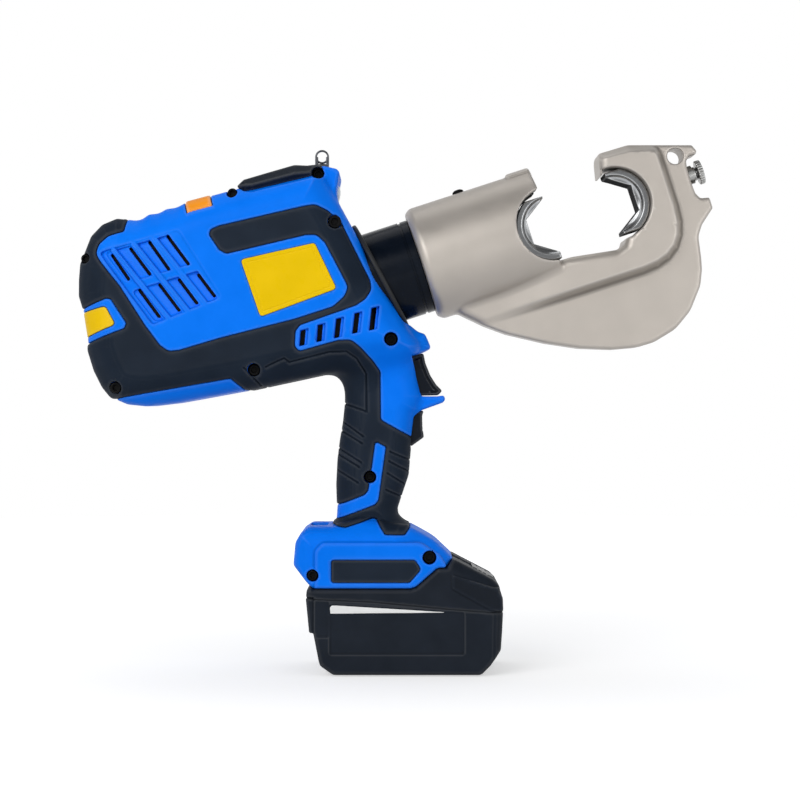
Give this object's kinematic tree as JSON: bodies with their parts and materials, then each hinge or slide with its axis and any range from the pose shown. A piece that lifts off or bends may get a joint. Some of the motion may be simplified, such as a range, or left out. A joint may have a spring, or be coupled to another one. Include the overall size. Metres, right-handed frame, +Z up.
{
  "type": "hydraulic crimping tool",
  "caption": "Pistol-grip cordless hydraulic crimping tool with a swivelling C-shaped steel head, half-hex dies, sliding ram, trigger, retract lever and slide-on battery.",
  "frame": {"origin": "middle of the battery's flat base, on the tool's middle plane", "axes": "+X to the jaws, +Z up, +Y to the tool's left side"},
  "size_m": [0.3708, 0.078, 0.3078],
  "materials": {
    "blue_shell": "satin",
    "soft_grip": "matte",
    "dark_steel": "blackened",
    "bright_steel": "polished",
    "yellow_trim": "satin",
    "orange_trim": "satin",
    "lens": "clear",
    "black_plastic": "satin",
    "control_plastic": "satin",
    "black_metal": "gloss",
    "seal_rubber": "matte",
    "cast_aluminium": "cast",
    "brass": "machined",
    "gear_steel": "machined",
    "spring_steel": "drawn",
    "circuit_board": "lacquered",
    "head_metal": "satin nickel, bead blasted",
    "die_steel": "ground",
    "battery_plastic": "satin",
    "cell_wrap": "wrapped"
  },
  "bodies": {
    "tool": {"housing_right": "blue_shell", "housing_left": "blue_shell", "overmould_right": "soft_grip", "overmould_left": "soft_grip", "housing_screws": "dark_steel", "top_pad": "soft_grip", "hanging_eye": "bright_steel", "rear_inlay": "yellow_trim", "lamp_lens": "lens", "front_collar": "black_plastic", "label_plate": "yellow_trim", "foot_inlays": "soft_grip", "neck_tube": "black_metal", "neck_seal": "seal_rubber", "snap_ring": "bright_steel", "pump_block": "cast_aluminium", "pump_plunger": "bright_steel", "relief_valve": "brass", "oil_reservoir": "black_plastic", "motor_can": "gear_steel", "motor_end_bell": "black_plastic", "gear_case": "cast_aluminium", "ring_gear": "gear_steel", "shaft_bearings": "bright_steel", "controller_board": "circuit_board", "trigger_switch": "black_plastic", "trigger_spring": "spring_steel", "retract_switch": "black_plastic", "retract_pin": "dark_steel", "wire_loom": "seal_rubber", "terminal_block": "black_plastic"},
    "head": {"c_head": "head_metal", "fixed_die": "die_steel", "head_cap_screw": "dark_steel", "knob_sleeve": "bright_steel", "knob_spring": "spring_steel", "return_spring": "spring_steel"},
    "ram": {"ram": "die_steel", "piston_seal": "seal_rubber", "moving_die": "die_steel"},
    "knob": {"die_lock_knob": "bright_steel"},
    "rotor": {"rotor": "gear_steel", "fan": "black_plastic"},
    "carrier": {"planet_carrier": "gear_steel", "eccentric": "gear_steel"},
    "planet_1": {"planet_gear_1": "gear_steel"},
    "planet_2": {"planet_gear_2": "gear_steel"},
    "planet_3": {"planet_gear_3": "gear_steel"},
    "trigger": {"trigger": "control_plastic"},
    "retract": {"retract_lever": "control_plastic"},
    "button": {"release_button": "orange_trim"},
    "battery": {"battery_upper_case": "battery_plastic", "battery_lower_case": "battery_plastic", "battery_cells": "cell_wrap", "cell_holders": "black_plastic", "battery_board": "circuit_board", "battery_terminals": "brass", "cell_straps": "spring_steel", "latch_spring": "spring_steel"},
    "latch": {"latch_button": "control_plastic"}
  },
  "joints": [
    {"name": "head_swivel", "type": "hinge", "parent": "tool", "child": "head", "pos_m": [0.0083, 0, 0.2374], "axis": [0.9511, 0, 0.309], "range_deg": [-175, 175]},
    {"name": "ram_slide", "type": "slide", "parent": "head", "child": "ram", "axis": [0.9511, 0, 0.309], "range_m": [0, 0.0382], "stiffness_N_per_m": 300, "deforming": ["return_spring"]},
    {"name": "knob_pull", "type": "slide", "parent": "head", "child": "knob", "axis": [0.9511, 0, 0.309], "range_m": [0, 0.005], "stiffness_N_per_m": 800, "deforming": ["knob_spring"]},
    {"name": "rotor_spin", "type": "hinge", "parent": "tool", "child": "rotor", "pos_m": [0.00212, 0, 0.25642], "axis": [0.9511, 0, 0.309], "continuous": true},
    {"name": "carrier_spin", "type": "hinge", "parent": "tool", "child": "carrier", "pos_m": [0.00212, 0, 0.25642], "axis": [0.9511, 0, 0.309], "continuous": true},
    {"name": "planet_1_spin", "type": "hinge", "parent": "carrier", "child": "planet_1", "pos_m": [0.00675, 0, 0.24216], "axis": [0.9511, 0, 0.309], "continuous": true},
    {"name": "planet_2_spin", "type": "hinge", "parent": "carrier", "child": "planet_2", "pos_m": [-0.0002, -0.01299, 0.26355], "axis": [0.9511, 0, 0.309], "continuous": true},
    {"name": "planet_3_spin", "type": "hinge", "parent": "carrier", "child": "planet_3", "pos_m": [-0.0002, 0.01299, 0.26355], "axis": [0.9511, 0, 0.309], "continuous": true},
    {"name": "trigger_pull", "type": "slide", "parent": "tool", "child": "trigger", "axis": [-1, 0, 0], "range_m": [0, 0.005], "stiffness_N_per_m": 900, "deforming": ["trigger_spring"]},
    {"name": "retract_press", "type": "hinge", "parent": "tool", "child": "retract", "pos_m": [-0.0005, 0, 0.14762], "axis": [0, 1, 0], "range_deg": [0, 10], "stiffness_Nm_per_rad": 0.6},
    {"name": "button_press", "type": "slide", "parent": "tool", "child": "button", "axis": [0.284, 0, -0.9588], "range_m": [0, 0.003], "stiffness_N_per_m": 900},
    {"name": "battery_slide", "type": "slide", "parent": "tool", "child": "battery", "axis": [1, 0, 0], "range_m": [0, 0.06]},
    {"name": "latch_press", "type": "slide", "parent": "battery", "child": "latch", "axis": [0, 0, -1], "range_m": [0, 0.004], "stiffness_N_per_m": 900, "deforming": ["latch_spring"]}
  ],
  "couplings": [
    {"joint": "carrier_spin", "follows": "rotor_spin", "ratio": 0.25},
    {"joint": "planet_1_spin", "follows": "rotor_spin", "ratio": -0.75},
    {"joint": "planet_2_spin", "follows": "rotor_spin", "ratio": -0.75},
    {"joint": "planet_3_spin", "follows": "rotor_spin", "ratio": -0.75}
  ]
}
